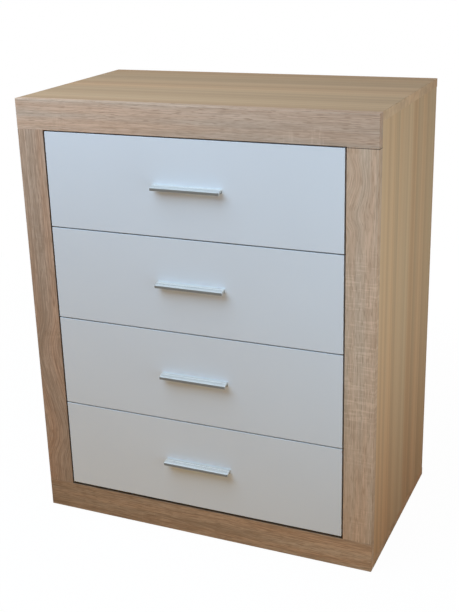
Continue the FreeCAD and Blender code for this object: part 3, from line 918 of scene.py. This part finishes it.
class ScrewTree(HeadTree):
    """Cross-slotted screw heads, one on each point."""

    title = "screw_heads"
    lengths = ("Head Diameter", "Head Height", "Slot Width", "Slot Depth")
    CROSS_REACH = 0.62

    def head(self) -> Signal:
        """Sink a cross in a low head.

        Returns:
            The head.
        """
        width = self.inputs.out("Slot Width")
        reach = self.inputs.out("Head Diameter") * self.CROSS_REACH
        height = self.inputs.out("Head Height")
        tall = self.inputs.out("Slot Depth") * 2.0
        arms = self.pen.node("GeometryNodeJoinGeometry")
        for x, y in ((width, reach), (reach, width)):
            size = self.pen.node("ShaderNodeCombineXYZ", None, {0: x, 1: y, 2: tall})
            bar = self.pen.node("GeometryNodeMeshCube", None, {"Size": size})
            self.tree.links.new(bar.socket, arms.node.inputs[0])
        rise = self.pen.node("ShaderNodeCombineXYZ", None, {2: height})
        raised = {"Geometry": arms, "Translation": rise}
        cross = self.pen.node("GeometryNodeTransform", None, raised)
        return self.pen.node(
            "GeometryNodeMeshBoolean",
            {"operation": "DIFFERENCE", "solver": "EXACT"},
            {0: super().head(), 1: cross, "Self Intersection": True},
        )


class NailTree(HeadTree):
    """Plain round heads, spaced along the edges of a mesh."""

    title = "nail_rows"
    lengths = ("Head Diameter", "Head Height", "Spacing")
    in_rows = True

    def points(self) -> Signal:
        """Set points along the edges.

        Returns:
            The points, a spacing apart.
        """
        edges = {"Mesh": self.inputs.out("Geometry")}
        path = self.pen.node("GeometryNodeMeshToCurve", None, edges)
        steps = {"Curve": path, "Length": self.inputs.out("Spacing")}
        return self.pen.node("GeometryNodeCurveToPoints", {"mode": "LENGTH"}, steps)


@dataclass
class Runners:
    """The screws of one pair of roller runners, in the holes that their walls have.

    Attributes:
        node: The pair of runners.
        body: What they ride on.
        tree: Makes the heads.
        wall_in: Their outer edge to the face that the heads lie on.
        hole_rise: Lowest edge to the row of holes.
        looks: 1 where the heads look away from the middle, -1 where they look towards it.
        hole_end: The runners' ends to the first and last hole.
        screw: Diameter and height of a head, width and depth of its slots.
    """

    node: str
    body: str
    tree: ScrewTree
    wall_in: float
    hole_rise: float
    looks: float
    hole_end: float = 0.045
    screw: tuple[float, ...] = (0.0072, 0.0007, 0.0009, 0.0004)

    def build_screws(self) -> None:
        """Build the low screw heads over the runners' holes."""
        low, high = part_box(self.node)
        reach = high.x - self.wall_in
        rows = (low.y + self.hole_end, (low.y + high.y) / 2.0, high.y - self.hole_end)
        spots = [
            Spot((hand * reach, y, low.z + self.hole_rise), (hand * self.looks, 0.0, 0.0))
            for hand in HANDS
            for y in rows
        ]
        name = self.node + "_screws"
        self.tree.build(Heads(name, self.body, SCREW_STEEL, "screw_steel", self.screw, spots))


@dataclass
class Carcass:
    """The case, its frame and back, and what is fixed to them.

    Attributes:
        nodes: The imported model's objects.
        screws, nails: The trees that make heads.
        nail_lines: Nail rows on the back, from the middle, on the inner and outer sides.
        nail_end: First nail from the back panel's edge.
        nail: Diameter and height of a head, and the spacing of the rows.
        boards: The oak of each board, and how it lies.
    """

    nodes: Mapping[str, bpy.types.Object]
    screws: ScrewTree
    nails: NailTree
    nail_lines: tuple[float, ...] = (0.302, 0.342)
    nail_end: float = 0.02
    nail: tuple[float, ...] = (0.006, 0.0004, 0.0873)
    boards: Mapping[str, tuple[OakDecor, Lay]] = field(default_factory=lambda: {
        # edges give painted shade on the frame's outer edges, and inner gives painted shade on the
        # edge that looks into the opening.
        "frame_top_rail": (FRAME_OAK, Lay(
            Grain.RAIL, (0.0, 0.0, 0.0), (1.156, 1.187, 1.210), drift=(-0.26, 0.0),
            edges=((Side.TOP, UPPER_BAND), (Side.LEFT, OUTER_BAND), (Side.RIGHT, OUTER_BAND)),
        )),
        "frame_bottom_rail": (BANDED_OAK, Lay(
            Grain.RAIL, (2.3, 1.1, 0.0), (0.883, 0.860, 0.784), drift=(0.5, 0.0), inner=Side.TOP,
        )),
        "frame_left_stile": (FLECKED_OAK, Lay(
            Grain.STILE, (1.7, 3.4, 0.0), (0.971, 0.945, 0.922), drift=(0.32, 0.43),
            swirls=(Swirl(0.27, -0.315, 0.16, 0.26),),
            inner=Side.RIGHT, edges=((Side.LEFT, OUTER_BAND),),
        )),
        "frame_right_stile": (FRAME_OAK, Lay(
            Grain.STILE, (4.1, 0.6, 0.0), (1.209, 1.243, 1.228), sawn=(0.30, 0.60),
            swirls=(Swirl(0.725, 0.280, 0.07, -0.36),),
            seam=0.8045, edges=((Side.RIGHT, OUTER_BAND),),
        )),
        "top_panel": (BOARD_OAK, Lay(Grain.SLAB, (0.9, 2.2, 0.0), (1.035, 1.025, 1.03))),
        "bottom_panel": (BOARD_OAK, Lay(Grain.SLAB, (3.6, 5.2, 0.0))),
        "left_side": (STRIPED_OAK, Lay(Grain.UPRIGHT, (5.5, 4.4, 0.0))),
        "right_side": (STRIPED_OAK, Lay(Grain.UPRIGHT, (1.2, 6.3, 0.0))),
        "left_inner_side": (BOARD_OAK, Lay(Grain.UPRIGHT, (7.7, 1.9, 0.0))),
        "right_inner_side": (BOARD_OAK, Lay(Grain.UPRIGHT, (8.1, 7.2, 0.0))),
    })

    def dress(self) -> None:
        """Give every board, the back, the dowels and the glides their finish."""
        for name, (oak, lay) in self.boards.items():
            oak.lay_on(self.nodes[name], lay)
        BACK_BOARD.lay_on(self.nodes["back_panel"], Lay(Grain.RAIL))
        DOWEL_BEECH.lay_on(self.nodes["case_dowels"], Lay(Grain.STILE))
        GLIDE_PLASTIC.lay_on(self.nodes["floor_glides"])

    def build_back_nails(self) -> None:
        """Build the rows of nails that hold the back to the upright boards."""
        low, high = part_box("back_panel")
        spots = [
            Spot((hand * line, high.y, z), (0.0, 1.0, 0.0))
            for line in self.nail_lines
            for hand in HANDS
            for z in (low.z + self.nail_end, high.z - self.nail_end)
        ]
        self.nails.build(
            Heads("back_nails", "carcass", NAIL_STEEL, "screw_steel", self.nail, spots)
        )

    def build_runner_screws(self) -> None:
        """Dress the case's runners and rollers, and screw the runners to the inner sides."""
        for number in range(1, DRAWER_COUNT + 1):
            node = f"case_runners_{number}"
            RUNNER_ENAMEL.lay_on(self.nodes[node], Lay(Grain.BOX_SIDE))
            ROLLER_NYLON.lay_on(self.nodes[f"case_rollers_{number}"])
            Runners(
                node, "carcass", self.screws, wall_in=0.001, hole_rise=0.0112, looks=-1.0
            ).build_screws()


@dataclass
class Drawer:
    """One drawer: its front and handle, its box, and the fastenings of the box.

    Attributes:
        number: 1 for the top drawer.
        nodes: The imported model's objects.
        screws, nails: The trees that make heads.
        screw_rises: Box screws above the box's lower edge.
        screw: Diameter and height of their heads, width and depth of the slots.
        cap_rises: First and last cover cap above the box's lower edge.
        cap_back: Cover caps behind the drawer front.
        cap: Their diameter and height.
        nail_half: Half the length of the row of nails under the box's back.
        nail: Diameter and height of their heads, and their spacing.
        pattern_step: How far the patterns move from one drawer to the next.
    """

    number: int
    nodes: Mapping[str, bpy.types.Object]
    screws: ScrewTree
    nails: NailTree
    screw_rises: tuple[float, float] = (0.046, 0.104)
    screw: tuple[float, ...] = (0.0078, 0.0006, 0.0012, 0.0004)
    cap_rises: tuple[float, float] = (0.044, 0.1)
    cap_back: float = 0.034
    cap: tuple[float, float] = (0.0175, 0.0012)
    nail_half: float = 0.21
    nail: tuple[float, ...] = (0.005, 0.0004, 0.1049)
    pattern_step: tuple[float, float] = (0.37, 0.91)

    @property
    def body(self) -> str:
        """Return the name of the drawer's body."""
        return f"drawer_{self.number}"

    def node(self, part: str) -> bpy.types.Object:
        """Return one of the drawer's own objects."""
        return self.nodes[f"{self.body}_{part}"]

    def back_middle(self) -> float:
        """Return how far back the middle of the box's back lies."""
        low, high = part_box(f"{self.body}_back")
        return (low.y + high.y) / 2.0

    def dress(self) -> None:
        """Give the front, the box, the handle and the runners their finish."""
        along, across = self.pattern_step
        shift = (along * self.number, across * self.number, 0.0)
        WHITE_FRONT.lay_on(self.node("front"), Lay(Grain.RAIL, shift))
        for part in ("left_side", "right_side"):
            DRAWER_FOIL.lay_on(self.node(part), Lay(Grain.BOX_SIDE, shift))
        DRAWER_FOIL.lay_on(self.node("back"), Lay(Grain.RAIL, shift))
        BOTTOM_BOARD.lay_on(self.node("bottom"), Lay(Grain.SLAB, shift))
        HANDLE_SILVER.lay_on(self.node("handle"), Lay(Grain.RAIL, shift))
        SCREW_STEEL.lay_on(self.node("handle_screws"))
        RUNNER_ENAMEL.lay_on(self.node("runners"), Lay(Grain.BOX_SIDE))
        ROLLER_NYLON.lay_on(self.node("rollers"))

    def build_runner_screws(self) -> None:
        """Build the screws that hold the drawer's runners to the box."""
        node = f"{self.body}_runners"
        Runners(
            node, self.body, self.screws, wall_in=0.0096, hole_rise=0.012, looks=1.0
        ).build_screws()

    def build_box_screws(self) -> None:
        """Build the screws through the box sides into the ends of its back."""
        low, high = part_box(f"{self.body}_right_side")
        middle = self.back_middle()
        spots = [
            Spot((hand * high.x, middle, low.z + rise), (hand, 0.0, 0.0))
            for hand in HANDS
            for rise in self.screw_rises
        ]
        name = f"{self.body}_box_screws"
        self.screws.build(Heads(name, self.body, SCREW_STEEL, "screw_steel", self.screw, spots))

    def build_cover_caps(self) -> None:
        """Build the caps over the fittings that draw the box sides up to the front."""
        low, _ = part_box(f"{self.body}_right_side")
        y = low.y + self.cap_back
        spots = [
            Spot((hand * low.x, y, low.z + rise), (-hand, 0.0, 0.0))
            for hand in HANDS
            for rise in self.cap_rises
        ]
        first, last = self.cap_rises
        diameter, height = self.cap
        sizes = (diameter, height, last - first - height)
        name = f"{self.body}_cover_caps"
        self.nails.build(Heads(name, self.body, CAP_PLASTIC, "nylon", sizes, spots))

    def build_bottom_nails(self) -> None:
        """Build the row of nails that holds the drawer bottom up to the box's back."""
        low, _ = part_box(f"{self.body}_bottom")
        middle = self.back_middle()
        down = (0.0, 0.0, -1.0)
        spots = [Spot((hand * self.nail_half, middle, low.z), down) for hand in HANDS]
        name = f"{self.body}_bottom_nails"
        self.nails.build(Heads(name, self.body, NAIL_STEEL, "screw_steel", self.nail, spots))


@dataclass(frozen=True)
class SoftBox:
    """A square lamp with a large soft face.

    Attributes:
        name: Its name.
        at, aim: Where it stands and what it looks at.
        size: Width and height of its face.
        colour: Of its light.
        power: In watts.
        beam: How wide the light spreads, in degrees.
    """

    name: str
    at: Triple
    aim: Triple
    size: float
    colour: Colour
    power: float
    beam: float = 180.0

    def build(self) -> None:
        """Set up the lamp, which the camera doesn't see."""
        lamp = bpy.data.lights.new(self.name, "AREA")
        lamp.shape = "SQUARE"
        lamp.size = self.size
        lamp.spread = math.radians(self.beam)
        lamp.color = self.colour
        lamp.energy = self.power
        stand = bpy.data.objects.new(self.name, lamp)
        stand.location = self.at
        way = Vector(self.aim) - Vector(self.at)
        stand.rotation_euler = way.to_track_quat("-Z", "Y").to_euler()
        stand.visible_camera = False
        bpy.context.scene.collection.objects.link(stand)


@dataclass
class Studio:
    """The floor, the surrounding white, the lamps and the camera.

    Attributes:
        floor_reach: From the middle of the floor to its edge.
        floor_near, floor_far: Where the floor starts to fade into plain white, and where it has.
        floor_colour: What the floor gives back to the object.
        floor_white: How much of the floor is plain white to the camera; the rest keeps the shadow.
        air: Light from all around.
        lamps: The soft boxes.
        eye: The camera's place.
        eye_right, eye_down, eye_forward: Its axes.
        eye_shift: How far the frame lies off the lens axis, as a share of its height.
        lens: Focal length for a frame 36 mm high.
    """

    floor_reach: float = 30.0
    floor_near: float = 0.7
    floor_far: float = 2.0
    floor_colour: Colour = (0.74, 0.38, 0.10)
    floor_white: float = 0.98
    air: Colour = (0.248, 0.222, 0.175)
    lamps: tuple[SoftBox, ...] = (
        SoftBox(
            "key_lamp", (-0.42, -0.94, 1.88), (0.0, -0.1, 0.5), 1.5, (0.543, 0.753, 1.0), 35.0
        ),
        SoftBox(
            "fill_lamp", (1.1, -0.37, 0.6), (0.3, -0.12, 0.9), 1.0, (0.562, 0.787, 1.0), 5.15, 124.0
        ),
        SoftBox("back_lamp", (0.0, 1.9, 0.42), (0.0, 0.2, 0.42), 0.66, (0.80, 0.89, 1.0), 15.0),
        SoftBox(
            "left_lamp", (-1.9, 0.13, 0.42), (-0.35, 0.13, 0.42), 0.6, (0.72, 0.86, 1.0), 11.0
        ),
    )
    eye: Triple = (0.80351, -1.83756, 1.16036)
    eye_right: Triple = (0.912403, 0.408154, -0.032264)
    eye_down: Triple = (0.110158, -0.320597, -0.940747)
    eye_forward: Triple = (-0.394317, 0.854813, -0.337468)
    eye_shift: tuple[float, float] = (0.02587, -0.01063)
    lens: float = 61.98

    @staticmethod
    def _seen(pen: NodePen) -> Signal:
        """Tell the rays that show the background, straight or in a reflection.

        Args:
            pen: The pen of the floor's or the world's tree.

        Returns:
            1 for such rays and 0 for the others.
        """
        path = pen.node("ShaderNodeLightPath")
        mirrored = path.out("Is Glossy Ray").larger(path.out("Is Transmission Ray"))
        return path.out("Is Camera Ray").larger(mirrored)

    def build_floor(self) -> None:
        """Build the pale floor, which keeps the object's shadow."""
        mesh = bpy.data.meshes.new("floor")
        plane = bmesh.new()
        bmesh.ops.create_grid(plane, x_segments=1, y_segments=1, size=self.floor_reach)
        plane.to_mesh(mesh)
        plane.free()
        floor = bpy.data.objects.new("floor", mesh)
        bpy.context.scene.collection.objects.link(floor)
        pen = MaterialPen("floor_finish")
        seen = self._seen(pen)
        colour = pen.mix(seen, self.floor_colour, WHITE)
        paint = pen.node("ShaderNodeBsdfDiffuse", None, {"Color": colour})
        white = pen.node("ShaderNodeEmission", None, {"Color": WHITE, "Strength": 1.0})
        length = pen.node("ShaderNodeVectorMath", {"operation": "LENGTH"}, {0: pen.place})
        fade = length.out("Value").between(self.floor_near, self.floor_far)
        share = seen * (self.floor_white + fade * (1.0 - self.floor_white))
        shader = pen.node("ShaderNodeMixShader", None, {0: share, 1: paint, 2: white})
        pen.node("ShaderNodeOutputMaterial", None, {"Surface": shader})
        mesh.materials.append(pen.material)

    def build_air(self) -> None:
        """Make the world white to the camera and dim to the object."""
        world = bpy.data.worlds.new("studio_air")
        world.use_nodes = True
        bpy.context.scene.world = world
        pen = NodePen(world.node_tree)
        world.node_tree.nodes.clear()
        soft = pen.node("ShaderNodeBackground", None, {"Color": self.air, "Strength": 1.0})
        white = pen.node("ShaderNodeBackground", None, {"Color": WHITE, "Strength": 1.0})
        both = pen.node("ShaderNodeMixShader", None, {0: self._seen(pen), 1: soft, 2: white})
        pen.node("ShaderNodeOutputWorld", None, {"Surface": both})

    def build_camera(self) -> None:
        """Set the camera at the photograph's point of view."""
        camera = bpy.data.cameras.new("camera")
        camera.lens = self.lens
        camera.shift_x, camera.shift_y = self.eye_shift
        eye = bpy.data.objects.new("camera", camera)
        axes = (self.eye_right, self.eye_down, self.eye_forward)
        right, down, forward = (Vector(axis) for axis in axes)
        turn = Matrix((right, -down, -forward)).transposed()
        eye.matrix_world = Matrix.Translation(self.eye) @ turn.to_4x4()
        bpy.context.scene.collection.objects.link(eye)
        bpy.context.scene.camera = eye

    def build(self) -> None:
        """Set up the whole studio."""
        bpy.context.scene.view_settings.view_transform = "Standard"
        self.build_camera()
        self.build_floor()
        self.build_air()
        for lamp in self.lamps:
            lamp.build()
            LOG.info("%s: %.0f W", lamp.name, lamp.power)


def main() -> None:
    """Load the frame, build and dress the chest, and set up the studio."""
    logging.basicConfig(level=logging.INFO, format="%(name)s %(message)s")
    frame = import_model()
    screws = ScrewTree()
    nails = NailTree()
    carcass = Carcass(frame["nodes"], screws, nails)
    carcass.dress()
    carcass.build_back_nails()
    carcass.build_runner_screws()
    for number in range(1, DRAWER_COUNT + 1):
        drawer = Drawer(number, frame["nodes"], screws, nails)
        drawer.dress()
        drawer.build_runner_screws()
        drawer.build_box_screws()
        drawer.build_cover_caps()
        drawer.build_bottom_nails()
    Studio().build()


if __name__ == "__main__":
    main()
